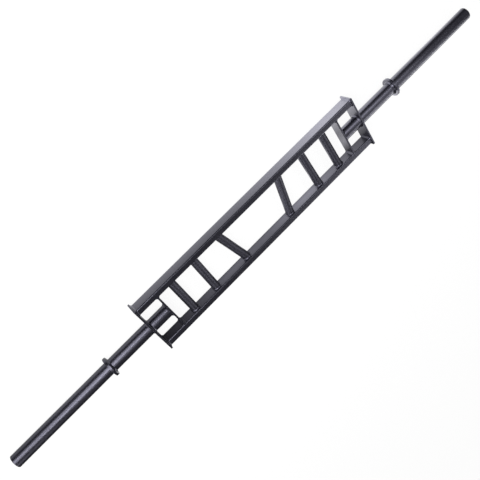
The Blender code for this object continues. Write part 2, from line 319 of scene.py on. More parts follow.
@dataclass(frozen=True)
class PowderCoat:
    """Satin black powder coat: a faint orange peel, slightly uneven gloss, and light rubbing.

    Attributes:
        title: The material's name.
        colour: Linear colour of the coat.
        worn: Linear colour where it has been rubbed.
        roughness: Mean roughness.
        least_roughness: Roughness that no place goes below.
        drift: How far the roughness strays from its mean.
        drift_span: Distance over which the roughness strays, in blotches.
        mottle: Strength of the blotches in the colour.
        mottle_size: Metres between blotches.
        mottle_swing: How far full-strength blotches take the colour either way, as a share of it.
        peel_size: Metres between dimples of the orange peel.
        peel_height: Depth of the dimples in metres.
        grain: Depth in metres of the fine texture on top, or 0.
        grain_size: Metres between grains.
        wave_height: Depth in metres of the long, shallow waves that make a highlight's edge wander.
        wave_span: Distance between two waves, in dimples.
        scuff: Strength of the rubbing, 0 to 1.
        scuff_stretch: How the rub marks are squeezed on each axis; a low value draws them out along it.
        scuff_size: Metres across a rub mark.
        scuff_spread: Metres between patches of rub marks.
        scuff_edge: Levels of the marks' noise where a mark starts and where it is full.
        patch_edge: Levels of the patches' noise where a patch starts and where it is full.
        scuff_polish: How much the roughness drops in a full rub mark.
        ior: Refractive index of the coat.
        tint: Colour of the coat's reflections.
    """

    title: str
    colour: Colour
    worn: Colour = (0.030, 0.030, 0.036)
    roughness: float = 0.30
    least_roughness: float = 0.05
    drift: float = 0.05
    drift_span: float = 5.0
    mottle: float = 0.5
    mottle_size: float = 18 * MM
    mottle_swing: float = 0.35
    peel_size: float = 1.5 * MM
    peel_height: float = 0.005 * MM
    grain: float = 0.0
    grain_size: float = 0.45 * MM
    wave_height: float = 0.014 * MM
    wave_span: float = 14.0
    scuff: float = 0.3
    scuff_stretch: tuple[float, float, float] = (0.15, 1.0, 1.0)
    scuff_size: float = 1.1 * MM
    scuff_spread: float = 60 * MM
    scuff_edge: tuple[float, float] = (0.60, 0.74)
    patch_edge: tuple[float, float] = (0.46, 0.66)
    scuff_polish: float = 0.06
    ior: float = 1.85
    tint: Colour = (0.80, 0.79, 1.0)

    def material(self) -> bpy.types.Material:
        """Builds the material.

        Returns:
            A node-based material of this finish.
        """
        made = bpy.data.materials.new(self.title)
        made.use_nodes = True
        graph = Graph(made.node_tree)
        place = graph.node("ShaderNodeTexCoord")["Object"]
        blotches = graph.cloud(place, self.mottle_size, detail=3.0, roughness=0.55)
        rubs = self._rubs(graph, place)
        shader = graph.node(
            "ShaderNodeBsdfPrincipled",
            {},
            {
                "Base Color": self._colour(graph, blotches, rubs),
                "Roughness": self._roughness(graph, place, blotches, rubs),
                "IOR": self.ior,
                "Specular Tint": opaque(self.tint),
                "Normal": self._relief(graph, place),
            },
        )
        graph.node("ShaderNodeOutputMaterial", {}, {"Surface": shader["BSDF"]})
        return made

    def _rubs(self, graph: Graph, place: Wire) -> Wire:
        """Sparse, drawn-out marks where plates, hooks or hands have rubbed the coat.

        Args:
            graph: The material's graph.
            place: Where on the piece.

        Returns:
            How strongly each place is rubbed, 0 to 1.
        """
        drawn = graph.stretch(place, self.scuff_stretch)
        lines = graph.cloud(drawn, self.scuff_size, roughness=0.6)
        patches = graph.cloud(place, self.scuff_spread)
        return graph.climb(lines, self.scuff_edge) * graph.climb(patches, self.patch_edge) * self.scuff

    def _colour(self, graph: Graph, blotches: Wire, rubs: Wire) -> Wire:
        """The coat's colour, a little uneven, and greyer where it is rubbed.

        Args:
            graph: The material's graph.
            blotches: Noise of the blotches.
            rubs: How strongly each place is rubbed.

        Returns:
            The colour.
        """
        swing = self.mottle_swing * self.mottle
        dark = opaque(tuple(channel * (1 - swing) for channel in self.colour))
        light = opaque(tuple(channel * (1 + swing) for channel in self.colour))
        return graph.mix(rubs, graph.mix(blotches, dark, light), opaque(self.worn))

    def _roughness(self, graph: Graph, place: Wire, blotches: Wire, rubs: Wire) -> Wire:
        """Roughness that drifts over the piece; a rub mark is a little shinier than the coat.

        Args:
            graph: The material's graph.
            place: Where on the piece.
            blotches: Noise of the blotches.
            rubs: How strongly each place is rubbed.

        Returns:
            The roughness.
        """
        drift = graph.cloud(place, self.drift_span * self.mottle_size)
        uneven = (drift - NOISE_MIDDLE) * (2 * self.drift) + (blotches - NOISE_MIDDLE) * self.drift
        return (uneven + self.roughness - rubs * self.scuff_polish).at_least(self.least_roughness)

    def _relief(self, graph: Graph, place: Wire) -> Wire:
        """Orange peel, the fine texture over it and the long waves under it.

        Args:
            graph: The material's graph.
            place: Where on the piece.

        Returns:
            The bumped surface direction.
        """
        peel = graph.cloud(place, self.peel_size, detail=1.0, roughness=0.4)
        waves = graph.cloud(place, self.wave_span * self.peel_size, detail=1.0, roughness=0.4)
        relief = peel * self.peel_height + waves * self.wave_height
        if self.grain:
            relief = relief + graph.cloud(place, self.grain_size, roughness=0.6) * self.grain
        bump = {"Height": relief * (1 / MM), "Strength": 1.0, "Distance": MM}
        return graph.node("ShaderNodeBump", {}, bump)["Normal"]


@dataclass(frozen=True)
class MouldedPlastic:
    """Black moulded plastic with a fine spark texture and turning marks about the bar's axis.

    Attributes:
        title: The material's name.
        colour: Linear colour.
        shades: The darkest and the lightest blotch, as shares of the colour.
        roughness: Mean roughness.
        drift: How far the roughness ranges from one blotch to another.
        blotch_size: Metres between blotches.
        spark_size: Metres between the pits of the spark texture.
        spark_height: Depth of the pits in metres.
        swirl_pitch: Metres between rings left by the mould's turned face.
        swirl_height: How far a ring rises above or lies below the plain face, in metres.
        ior: Refractive index.
    """

    title: str
    colour: Colour = (0.012, 0.012, 0.014)
    shades: tuple[float, float] = (0.8, 1.3)
    roughness: float = 0.46
    drift: float = 0.12
    blotch_size: float = 9 * MM
    spark_size: float = 0.5 * MM
    spark_height: float = 0.030 * MM
    swirl_pitch: float = 0.8 * MM
    swirl_height: float = 0.002 * MM
    ior: float = 1.5

    def material(self) -> bpy.types.Material:
        """Builds the material.

        Returns:
            A node-based material of this finish.
        """
        made = bpy.data.materials.new(self.title)
        made.use_nodes = True
        graph = Graph(made.node_tree)
        place = graph.node("ShaderNodeTexCoord")["Object"]
        sparks = graph.cloud(place, self.spark_size, roughness=0.6)
        blotches = graph.cloud(place, self.blotch_size)
        flat = graph.stretch(place, (0.0, 1.0, 1.0))
        reach = graph.node("ShaderNodeVectorMath", {"operation": "LENGTH"}, {0: flat})["Value"]
        turns = reach * (math.tau / self.swirl_pitch)
        rings = graph.node("ShaderNodeMath", {"operation": "SINE"}, {0: turns})[0]
        relief = sparks * (self.spark_height / MM) + rings * (self.swirl_height / MM)
        bump = graph.node("ShaderNodeBump", {}, {"Height": relief, "Strength": 1.0, "Distance": MM})
        dark, light = (opaque(tuple(channel * shade for channel in self.colour)) for shade in self.shades)
        shader = graph.node(
            "ShaderNodeBsdfPrincipled",
            {},
            {
                "Base Color": graph.mix(blotches, dark, light),
                "Roughness": (blotches - NOISE_MIDDLE) * self.drift + self.roughness,
                "IOR": self.ior,
                "Normal": bump["Normal"],
            },
        )
        graph.node("ShaderNodeOutputMaterial", {}, {"Surface": shader["BSDF"]})
        return made


Finish = Union[PowderCoat, MouldedPlastic]

SATIN_BLACK: Colour = (0.0062, 0.0060, 0.0090)

BAR_FINISHES: Mapping[Slot, Finish] = {
    Slot.RAIL: PowderCoat("rail_satin_black", SATIN_BLACK, roughness=0.31),
    Slot.SLEEVE: PowderCoat("sleeve_satin_black", SATIN_BLACK, roughness=0.30, mottle=0.3, scuff=0.08),
    Slot.PLATE: PowderCoat(
        "plate_satin_black", SATIN_BLACK, roughness=0.32, mottle_size=12 * MM, scuff_stretch=(1.0, 0.2, 1.0)
    ),
    Slot.GRIP: PowderCoat(
        "grip_textured_black",
        (0.0062, 0.0060, 0.0086),
        roughness=0.46,
        grain=0.008 * MM,
        mottle_size=7 * MM,
        mottle=0.9,
        scuff_stretch=(1.0, 0.3, 1.0),
    ),
    Slot.WELD: PowderCoat("weld_satin_black", SATIN_BLACK, roughness=0.26, scuff=0.0),
    Slot.PLUG: MouldedPlastic("plug_moulded_black"),
}


class Finishes:
    """The bar's finishes, each built once and kept by its slot."""

    def __init__(self, kinds: Mapping[Slot, Finish] = BAR_FINISHES) -> None:
        """Builds every material."""
        self.by_slot = {slot: finish.material() for slot, finish in kinds.items()}

    def __getitem__(self, slot: Slot) -> bpy.types.Material:
        """The material of one slot."""
        return self.by_slot[slot]


# Meshes


def lofted(name: str, rings: Sequence[Ring], joined: bool = False, capped: bool = False) -> bpy.types.Mesh:
    """Skins a row of rings that all have the same number of points.

    Args:
        name: The mesh's name.
        rings: The rings, in order.
        joined: True where the last ring runs back into the first.
        capped: True where flat faces close the first and the last ring.

    Returns:
        The closed mesh, its normals outwards.
    """
    shape = bmesh.new()
    rows = [[shape.verts.new(point) for point in ring] for ring in rings]
    pairs = list(zip(rows, rows[1:]))
    if joined:
        pairs.append((rows[-1], rows[0]))
    count = len(rows[0])
    for first, second in pairs:
        for number in range(count):
            after = (number + 1) % count
            shape.faces.new((first[number], first[after], second[after], second[number]))
    if capped:
        shape.faces.new(rows[0])
        shape.faces.new(rows[-1])
    bmesh.ops.recalc_face_normals(shape, faces=shape.faces)
    mesh = bpy.data.meshes.new(name)
    shape.to_mesh(mesh)
    shape.free()
    mesh.shade_smooth()
    mesh.set_sharp_from_angle(angle=SHARP_ANGLE)
    return mesh


def circle(radius: float, along: float, steps: int) -> Ring:
    """Points on a circle about the X axis.

    Args:
        radius: The circle's radius.
        along: Its place on X.
        steps: How many points.

    Returns:
        The points, starting at +Y and turning towards +Z.
    """
    turns = [math.tau * number / steps for number in range(steps)]
    return [Vector((along, radius * math.cos(turn), radius * math.sin(turn))) for turn in turns]


def arc(
    centre: tuple[float, float], radius: float, start: float, end: float, steps: int
) -> list[tuple[float, float]]:
    """Points on an arc in a plane.

    Args:
        centre: The arc's centre.
        radius: Its radius.
        start: First angle in degrees.
        end: Last angle in degrees.
        steps: How many parts it is divided in.

    Returns:
        The points, both ends included.
    """
    turns = [math.radians(start + (end - start) * number / steps) for number in range(steps + 1)]
    return [(centre[0] + radius * math.cos(turn), centre[1] + radius * math.sin(turn)) for turn in turns]


def rounded_outline(
    width: float, height: float, corner: float, corner_steps: int, spacing: float
) -> list[tuple[float, float, float, float]]:
    """Points round a rectangle about the origin with round corners, each with its outward direction.

    Args:
        width: Size across.
        height: Size up.
        corner: Radius of the corners.
        corner_steps: Parts in each corner.
        spacing: Greatest distance between points on the straight sides.

    Returns:
        Rows of across, up, and the outward direction's across and up.
    """
    points = []
    for quarter in range(4):
        across = (width / 2 - corner) * (1 if quarter in (0, 3) else -1)
        up = (height / 2 - corner) * (1 if quarter in (0, 1) else -1)
        for step in range(corner_steps + 1):
            turn = math.radians(90 * (quarter + step / corner_steps))
            points.append((across + corner * math.cos(turn), up + corner * math.sin(turn), turn))
    full = []
    for number, (across, up, turn) in enumerate(points):
        after = points[(number + 1) % len(points)]
        full.append((across, up, math.cos(turn), math.sin(turn)))
        gap = math.hypot(after[0] - across, after[1] - up)
        if number % (corner_steps + 1) == corner_steps:
            extra = max(0, math.ceil(gap / spacing) - 1)
            for step in range(1, extra + 1):
                share = step / (extra + 1)
                here = (across + (after[0] - across) * share, up + (after[1] - up) * share)
                full.append((*here, math.cos(turn), math.sin(turn)))
    return full


def turned(name: str, profile: Profile, side: Side, steps: int, capped: bool = False) -> bpy.types.Mesh:
    """Turns a profile about the X axis, on one half of the bar.

    Args:
        name: The mesh's name.
        profile: Points as distance from the bar's middle and radius.
        side: Which half of the bar.
        steps: Divisions round the axis.
        capped: True where the profile ends close to the axis at both ends and small flat faces close it
            there; otherwise the profile is a closed loop.

    Returns:
        The turned mesh.
    """
    rings = [circle(radius, side.value * along, steps) for along, radius in profile]
    return lofted(name, rings, joined=not capped, capped=capped)


class NodeBox:
    """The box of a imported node: its low and high corners, its centre and its size."""

    def __init__(self, node: str) -> None:
        """Reads the box of the node with this name."""
        low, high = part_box(node)
        self.low = Vector(low)
        self.high = Vector(high)
        self.centre = (self.low + self.high) / 2
        self.size = self.high - self.low

    def ends(self, side: Side) -> tuple[float, float]:
        """The end nearest to the bar's middle and the one farthest from it, on X."""
        return (self.low.x, self.high.x) if side is Side.RIGHT else (self.high.x, self.low.x)


class Maker:
    """Places finished pieces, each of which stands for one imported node."""

    def __init__(self, finishes: Finishes) -> None:
        """Keeps the finishes that pieces take."""
        self.finishes = finishes
        self.made = 0

    def place(self, node: str, mesh: bpy.types.Mesh, slot: Slot) -> None:
        """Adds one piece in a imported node's place.

        Args:
            node: The node that it replaces.
            mesh: The piece's mesh, in the bar's frame.
            slot: The slot that it takes its finish from.
        """
        piece = bpy.data.objects.new(f"{node}_coated", mesh)
        bpy.context.scene.collection.objects.link(piece)
        mesh.materials.clear()
        mesh.materials.append(self.finishes[slot])
        weighted = piece.modifiers.new("even_flats", "WEIGHTED_NORMAL")
        weighted.keep_sharp = True
        weighted.weight = FLATS_WEIGHT
        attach(piece, BODY)
        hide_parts(node)
        self.made += 1
        log.info("%s: %d faces, %s", piece.name, len(mesh.polygons), slot.value)


# Weld beads


@dataclass(frozen=True)
class Station:
    """One place along the corner that a bead fills.

    Attributes:
        root: The corner itself.
        out: Direction along the face that the bead stands on.
        up: Direction along the wall beside it.
        reach: The bead's leg here, as a share of its usual leg.
        fill: How much farther the bead's foot runs out, where the wall falls away behind it.
    """

    root: Vector
    out: Vector
    up: Vector
    reach: float = 1.0
    fill: float = 0.0


@dataclass
class WeldBead:
    """A laid bead under its coat, with the crescent ripples that each pool leaves.

    Attributes:
        node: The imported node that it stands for.
        leg: How far the bead reaches from the corner.
        path: Gives the station at a share of the bead's length.
        length: Length along the corner.
        closed: True where the bead runs back into its start.
        hollow: How deep the bead's face is hollowed, as a share of its width.
        ripple_pitch: Length of one ripple along the bead.
        ripple_height: Height of a ripple from its valley to its crest.
        ripple_drift: How far ripples stray along the bead, in ripples.
        crescent: How far a ripple's two feet run ahead of its middle, in ripples.
        crest_power: Below 1, it widens the crests and sharpens the valleys between them.
        valley_share: Share of a ripple's height that lies below the plain face.
        wander: How far each leg strays, as a share of itself.
        seed_step: What the letters in a bead's name are multiplied by for its own place in the noise.
        stray_radius: Radius of the circle in the noise that a closed bead's strays follow.
        stray_pitch: Metres of an open bead to one step in the noise.
        sink: How deep the bead's back is sunk in the metal.
        least_ripples: Fewest ripples in a bead.
        steps_in_ripple: Sections in each ripple.
        face_steps: Points across the bead's face.
    """

    node: str
    leg: float
    path: Callable[[float], Station]
    length: float
    closed: bool = True
    hollow: float = 0.11
    ripple_pitch: float = 2.3 * MM
    ripple_height: float = 0.13 * MM
    ripple_drift: float = 0.35
    crescent: float = 0.55
    crest_power: float = 0.7
    valley_share: float = 0.6
    wander: float = 0.06
    seed_step: float = 0.37
    stray_radius: float = 1.7
    stray_pitch: float = 12 * MM
    sink: float = 0.35 * MM
    least_ripples: int = 6
    steps_in_ripple: int = 6
    face_steps: int = 9

    def build(self, maker: Maker) -> None:
        """Makes the bead's mesh and places it.

        Args:
            maker: Places the piece.
        """
        ripples = max(self.least_ripples, round(self.length / self.ripple_pitch))
        count = ripples * self.steps_in_ripple
        last = count if self.closed else count - 1
        rings = [self._section(number / last, ripples) for number in range(count)]
        mesh = lofted(self.node, rings, joined=self.closed, capped=not self.closed)
        maker.place(self.node, mesh, Slot.WELD)

    def _stray(self, share: float, lane: Lane) -> float:
        """Slow, even noise that meets itself where a closed bead does.

        Args:
            share: Place along the bead, 0 to 1.
            lane: Which of the bead's noises.

        Returns:
            A number from -1 to 1.
        """
        seed = sum(ord(letter) for letter in self.node) * self.seed_step
        if not self.closed:
            return noise.noise(Vector((self.length / self.stray_pitch * share, lane.value, seed)))
        turn = math.tau * share
        radius = self.stray_radius
        return noise.noise(Vector((radius * math.cos(turn), radius * math.sin(turn), seed + lane.value)))

    def _section(self, share: float, ripples: int) -> Ring:
        """One cross-section.

        Args:
            share: Place along the bead, 0 to 1.
            ripples: How many ripples the whole bead has.

        Returns:
            The section's points, from the root round the bead's face.
        """
        station = self.path(share)
        leg = self.leg * station.reach
        up_leg = leg * (1 + self.wander * self._stray(share, Lane.UP_LEG))
        out_leg = leg * (1 + self.wander * self._stray(share, Lane.OUT_LEG)) + station.fill
        drift = self.ripple_drift * self._stray(share, Lane.PHASE)
        lift = (station.out + station.up).normalized()
        hollow = self.hollow * leg * math.sqrt(2)
        ring = [station.root - (station.out + station.up) * self.sink]
        ring.append(station.root + station.up * up_leg - station.out * self.sink)
        for step in range(self.face_steps):
            across = step / (self.face_steps - 1)
            bow = math.sin(math.pi * across)
            phase = share * ripples + drift - self.crescent * (2 * across - 1) ** 2
            ripple = abs(math.sin(math.pi * phase)) ** self.crest_power - self.valley_share
            raised = bow * (self.ripple_height * ripple * station.reach - hollow)
            on_face = station.out * (out_leg * across) + station.up * (up_leg * (1 - across))
            ring.append(station.root + on_face + lift * raised)
        ring.append(station.root + station.out * out_leg - station.up * self.sink)
        return ring


def round_pipe_bead(node: str, leg: float, radius: float, face: float, away: int) -> WeldBead:
    """A bead round a pipe on the X axis, against a face that is square to it.

    Args:
        node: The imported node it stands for.
        leg: The bead's leg.
        radius: The pipe's radius.
        face: The face's place on X.
        away: Sign of X on the side of the face that the bead is on.

    Returns:
        The bead.
    """

    def station(share: float) -> Station:
        """The place along the corner.

        Args:
            share: How far round the pipe, 0 to 1.

        Returns:
            The station there.
        """
        turn = math.tau * share
        out = Vector((0.0, math.cos(turn), math.sin(turn)))
        return Station(out * radius + X_AXIS * face, out, X_AXIS * away)

    return WeldBead(node, leg, station, math.tau * radius)


# Sub-assemblies


@dataclass
class Rail:
    """Rectangular tube along the bar, with a bead round each end where it meets its end plate.

    Attributes:
        place: Which rail.
        corner: Radius of the tube's outer corners.
        wall: Thickness of its wall.
        least_corner: Least radius of its inner corners.
        corner_steps: Parts in each corner.
        weld_leg: Leg of the beads.
        weld_corner_steps: Parts in each corner of a bead's path.
        weld_spacing: Greatest distance between points on the straights of a bead's path.
    """

    place: RailPlace
    corner: float = RAIL_CORNER
    wall: float = 3.0 * MM
    least_corner: float = 1.5 * MM
    corner_steps: int = 8
    weld_leg: float = 5.5 * MM
    weld_corner_steps: int = 12
    weld_spacing: float = 0.4 * MM

    def build(self, maker: Maker) -> None:
        """Makes the tube and its two beads.

        Args:
            maker: Places the pieces.
        """
        node = f"{self.place.word}_rail"
        box = NodeBox(node)
        outside = self._outline(box, 0.0)
        inside = self._outline(box, self.wall)
        corners = ((outside, box.low.x), (outside, box.high.x), (inside, box.high.x), (inside, box.low.x))
        rings = [[Vector((along, y, z)) for y, z in outline] for outline, along in corners]
        maker.place(node, lofted(node, rings, joined=True), Slot.RAIL)
        for side in Side:
            self._weld(side, box).build(maker)

    def _outline(self, box: NodeBox, inset: float) -> list[tuple[float, float]]:
        """The tube's outline in the YZ plane.

        Args:
            box: The tube's box.
            inset: How far the outline is drawn in.

        Returns:
            Rows of Y and Z.
        """
        corner = max(self.corner - inset, self.least_corner)
        width = box.size.y - 2 * inset
        height = box.size.z - 2 * inset
        rows = rounded_outline(width, height, corner, self.corner_steps, box.size.z)
        return [(box.centre.y + across, box.centre.z + up) for across, up, _, _ in rows]

    def _weld(self, side: Side, box: NodeBox) -> WeldBead:
        """The bead round one end.

        Args:
            side: Which end.
            box: The tube's box.

        Returns:
            The bead.
        """
        face, _ = NodeBox(f"{side.word}_end_plate").ends(side)
        rows = rounded_outline(
            box.size.y, box.size.z, self.corner, self.weld_corner_steps, self.weld_spacing
        )
        spots = [
            (Vector((face, box.centre.y + across, box.centre.z + up)), Vector((0.0, out_y, out_z)))
            for across, up, out_y, out_z in rows
        ]
        steps = [(after[0] - here[0]).length for here, after in zip(spots, spots[1:])]
        length = sum(steps) + (spots[0][0] - spots[-1][0]).length
        inwards = X_AXIS * -side.value

        def station(share: float) -> Station:
            """The place along the corner.

            Args:
                share: How far round the tube, 0 to 1.

            Returns:
                The station there.
            """
            left = share % 1.0 * length
            number = 0
            while number < len(steps) and left > steps[number]:
                left -= steps[number]
                number += 1
            here = spots[number]
            after = spots[(number + 1) % len(spots)]
            part = left / max((after[0] - here[0]).length, NEARLY_ZERO)
            return Station(here[0].lerp(after[0], part), here[1].lerp(after[1], part).normalized(), inwards)

        return WeldBead(f"{side.word}_{self.place.word}_rail_weld", self.weld_leg, station, length)


def eased_profile(box: NodeBox, edge: float, steps: int) -> list[tuple[float, float]]:
    """How a plate's outline draws in towards its two faces.

    Args:
        box: The plate's box.
        edge: Radius of the eased edges.
        steps: Parts in each eased edge.

    Returns:
        Rows of place on X and inset.
    """
    turns = [math.radians(90 * step / steps) for step in range(steps + 1)]
    low = [(box.low.x + edge * (1 - math.sin(turn)), edge * (1 - math.cos(turn))) for turn in reversed(turns)]
    high = [(box.high.x - edge * (1 - math.sin(turn)), edge * (1 - math.cos(turn))) for turn in turns]
    return low + high


@dataclass
class EndPlate:
    """Plate across both rails' ends, bored for the pipe and welded to it on both faces.

    Attributes:
        side: Which half of the bar.
        corner: Radius of the plate's four corners.
        corner_steps: Parts in each corner.
        edge: Radius of its eased edges.
        edge_steps: Parts in each eased edge.
        spacing: Greatest distance between points on its straight edges.
        pipe_radius: Radius of the pipe, and of the bore.
        weld_leg: Leg of the beads.
    """

    side: Side
    corner: float = 3.0 * MM
    corner_steps: int = 6
    edge: float = 0.9 * MM
    edge_steps: int = 4
    spacing: float = 8 * MM
    pipe_radius: float = PIPE_RADIUS
    weld_leg: float = 5.0 * MM

    def build(self, maker: Maker) -> None:
        """Makes the plate and its two beads.

        Args:
            maker: Places the pieces.
        """
        node = f"{self.side.word}_end_plate"
        box = NodeBox(node)
        rings = [self._hole(box, box.low.x)]
        for along, inset in eased_profile(box, self.edge, self.edge_steps):
            rings.append([Vector((along, y, z)) for y, z in self._outline(box, inset)])
        rings.append(self._hole(box, box.high.x))
        maker.place(node, lofted(node, rings, joined=True), Slot.PLATE)
        inner, outer = box.ends(self.side)
        for name, face, away in (("inner", inner, -self.side.value), ("outer", outer, self.side.value)):
            bead = f"{node}_{name}_weld"
            round_pipe_bead(bead, self.weld_leg, self.pipe_radius, face, away).build(maker)

    def _outline(self, box: NodeBox, inset: float) -> list[tuple[float, float]]:
        """The plate's outline in the YZ plane.

        Args:
            box: The plate's box.
            inset: How far the outline is drawn in.

        Returns:
            Rows of Y and Z.
        """
        rows = rounded_outline(box.size.y, box.size.z, self.corner, self.corner_steps, self.spacing)
        return [(across - out_y * inset, up - out_z * inset) for across, up, out_y, out_z in rows]

    def _hole(self, box: NodeBox, along: float) -> Ring:
        """The bore, with one point towards each point of the outline.

        Args:
            box: The plate's box.
            along: The ring's place on X.

        Returns:
            The bore's points.
        """
        radius = self.pipe_radius
        turns = [math.atan2(up, across) for across, up in self._outline(box, 0.0)]
        return [Vector((along, radius * math.cos(turn), radius * math.sin(turn))) for turn in turns]


@dataclass
class CrossPlate:
    """Plate between the rails that the pipe stands on, with its beads to the rails and to the pipe.

    Attributes:
        side: Which half of the bar.
        corner: Radius of the plate's four corners.
        corner_steps: Parts in each corner.
        edge: Radius of its eased edges.
        edge_steps: Parts in each eased edge.
        drawn_in: Share of an eased edge that the outline is drawn in by, so that no corner shuts.
        rail_gap: Gap between the plate's ends and the rails' faces.
        rail_corner: Radius of the rails' corners, which the corner beads fill.
        weld_leg: Leg of the corner beads.
        weld_margin: How far these beads end from the plate's upper and lower edges.
        weld_run_out: Length over which they thin out at each end.
        weld_thin: Their leg at the very end, as a share of the full leg.
        pipe_radius: The pipe's radius.
        root_leg: Leg of the bead round the pipe's root.
        root_limit: How far that bead may reach up and down from the bar's axis.
        root_half_turn: How far each half of it goes to either side of its middle, in radians.
        root_thin: Its least leg, as a share of the full leg.
    """

    side: Side
    corner: float = 0.9 * MM
    corner_steps: int = 4
    edge: float = 0.9 * MM
    edge_steps: int = 4
    drawn_in: float = 0.95
    rail_gap: float = 0.3 * MM
    rail_corner: float = RAIL_CORNER
    weld_leg: float = 6.5 * MM
    weld_margin: float = 1.0 * MM
    weld_run_out: float = 3.0 * MM
    weld_thin: float = 0.45
    pipe_radius: float = PIPE_RADIUS
    root_leg: float = 7.0 * MM
    root_limit: float = 24.2 * MM
    root_half_turn: float = math.radians(70)
    root_thin: float = 0.05

    def build(self, maker: Maker) -> None:
        """Makes the plate, its corner beads and the two halves of the bead round the pipe's root.

        Args:
            maker: Places the pieces.
        """
        node = f"{self.side.word}_cross_plate"
        box = NodeBox(node)
        rows = rounded_outline(box.size.y, box.size.z, self.corner, self.corner_steps, box.size.y)
        rings = []
        for along, inset in eased_profile(box, self.edge, self.edge_steps):
            drawn = inset * self.drawn_in
            outline = [(y - out_y * drawn, z - out_z * drawn) for y, z, out_y, out_z in rows]
            rings.append([Vector((along, y, z)) for y, z in outline])
        maker.place(node, lofted(node, rings, capped=True), Slot.PLATE)
        inner, outer = box.ends(self.side)
        for rail in RailPlace:
            for name, face, away in (("inner", inner, -self.side.value), ("outer", outer, self.side.value)):
                bead = f"{self.side.word}_{rail.word}_cross_{name}_weld"
                self._corner_bead(bead, box, face, away, rail).build(maker)
            self._root_bead(rail, outer).build(maker)

    def _corner_bead(self, node: str, box: NodeBox, face: float, away: int, rail: RailPlace) -> WeldBead:
        """An upright bead in the corner between this plate and a rail, thinned out at both ends.

        Args:
            node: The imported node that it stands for.
            box: The plate's box.
            face: The plate's face on X.
            away: Sign of X on the side of the face that the bead is on.
            rail: Which rail.

        Returns:
            The bead.
        """
        wall = rail.value * (box.size.y / 2 + self.rail_gap)
        half = box.size.z / 2 - self.weld_margin
        flat = box.size.z / 2 - self.rail_corner

        def station(share: float) -> Station:
            """The place along the corner.

            Args:
                share: How far up the bead, 0 to 1.

            Returns:
                The station there.
            """
            up = (2 * share - 1) * half
            end = min(1.0, (half - abs(up)) / self.weld_run_out)
            swell = math.sqrt(max(0.0, 1 - (1 - end) ** 2))
            reach = self.weld_thin + (1 - self.weld_thin) * swell
            past = max(0.0, abs(up) - flat)
            fall = self.rail_corner - math.sqrt(self.rail_corner**2 - past**2)
            root = Vector((face, wall + rail.value * fall, up))
            return Station(root, Y_AXIS * -rail.value, X_AXIS * away, reach, fall)

        return WeldBead(node, self.weld_leg, station, 2 * half, closed=False)

    def _root_bead(self, rail: RailPlace, face: float) -> WeldBead:
        """Half of the bead round the pipe's root, which runs out at the plate's upper and lower edges.

        Args:
            rail: The rail on this half's side.
            face: The plate's outer face on X.

        Returns:
            The bead.
        """
        middle = 0.0 if rail is RailPlace.REAR else math.pi

        def station(share: float) -> Station:
            """The place along the corner.

            Args:
                share: How far round this half, 0 to 1.

            Returns:
                The station there.
            """
            turn = (2 * share - 1) * self.root_half_turn
            room = self.root_limit / max(abs(math.sin(turn)), NEARLY_ZERO) - self.pipe_radius
            reach = max(self.root_thin, min(1.0, room / self.root_leg))
            out = Vector((0.0, math.cos(middle + turn), math.sin(middle + turn)))
            return Station(out * self.pipe_radius + X_AXIS * face, out, X_AXIS * self.side.value, reach)

        node = f"{self.side.word}_{rail.word}_root_weld"
        length = 2 * self.root_half_turn * self.pipe_radius
        return WeldBead(node, self.root_leg, station, length, closed=False)


@dataclass
class EndPlug:
    """Moulded disc in a pipe's mouth: a raised rim round a dished face, with the moulding point.

    Attributes:
        side: Which half of the bar.
        rim_width: Width of the raised rim.
        dish: How far the face lies below the rim.
        back_bevel: Bevel of the hidden back edge.
        outer_round: Radius that eases the rim's outer edge.
        inner_round: Radius that eases the rim's inner edge.
        foot_round: Radius in the corner between rim and face.
        outer_steps: Parts in the outer edge.
        inner_steps: Parts in the inner edge and in the corner.
        point_foot: Radius of the moulding point at its foot.
        point_top: Radius of its top.
        point_edge: How high its top stands at the edge.
        point_height: How high it stands in the middle.
        flat: Radius of the small flats that close the disc on the axis.
        steps: Divisions round the axis.
    """

    side: Side
    rim_width: float = 2.6 * MM
    dish: float = 0.9 * MM
    back_bevel: float = 0.4 * MM
    outer_round: float = 0.7 * MM
    inner_round: float = 0.5 * MM
    foot_round: float = 0.4 * MM
    outer_steps: int = 5
    inner_steps: int = 4
    point_foot: float = 2.6 * MM
    point_top: float = 2.2 * MM
    point_edge: float = 0.25 * MM
    point_height: float = 0.3 * MM
    flat: float = 0.5 * MM
    steps: int = 96

    def build(self, maker: Maker) -> None:
        """Makes the disc.

        Args:
            maker: Places the piece.
        """
        node = f"{self.side.word}_end_plug"
        box = NodeBox(node)
        back, front = (abs(end) for end in box.ends(self.side))
        radius = box.size.y / 2
        rim = radius - self.rim_width
        face = front - self.dish
        outer, inner, foot = self.outer_round, self.inner_round, self.foot_round
        profile = [(back, self.flat), (back, radius - self.back_bevel), (back + self.back_bevel, radius)]
        profile += arc((front - outer, radius - outer), outer, 90, 0, self.outer_steps)
        profile += arc((front - inner, rim + inner), inner, 0, -90, self.inner_steps)
        profile += arc((face + foot, rim - foot), foot, 90, 180, self.inner_steps)
        profile += [(face, self.point_foot), (face + self.point_edge, self.point_top)]
        profile.append((face + self.point_height, self.flat))
        maker.place(node, turned(node, profile, self.side, self.steps, capped=True), Slot.PLUG)


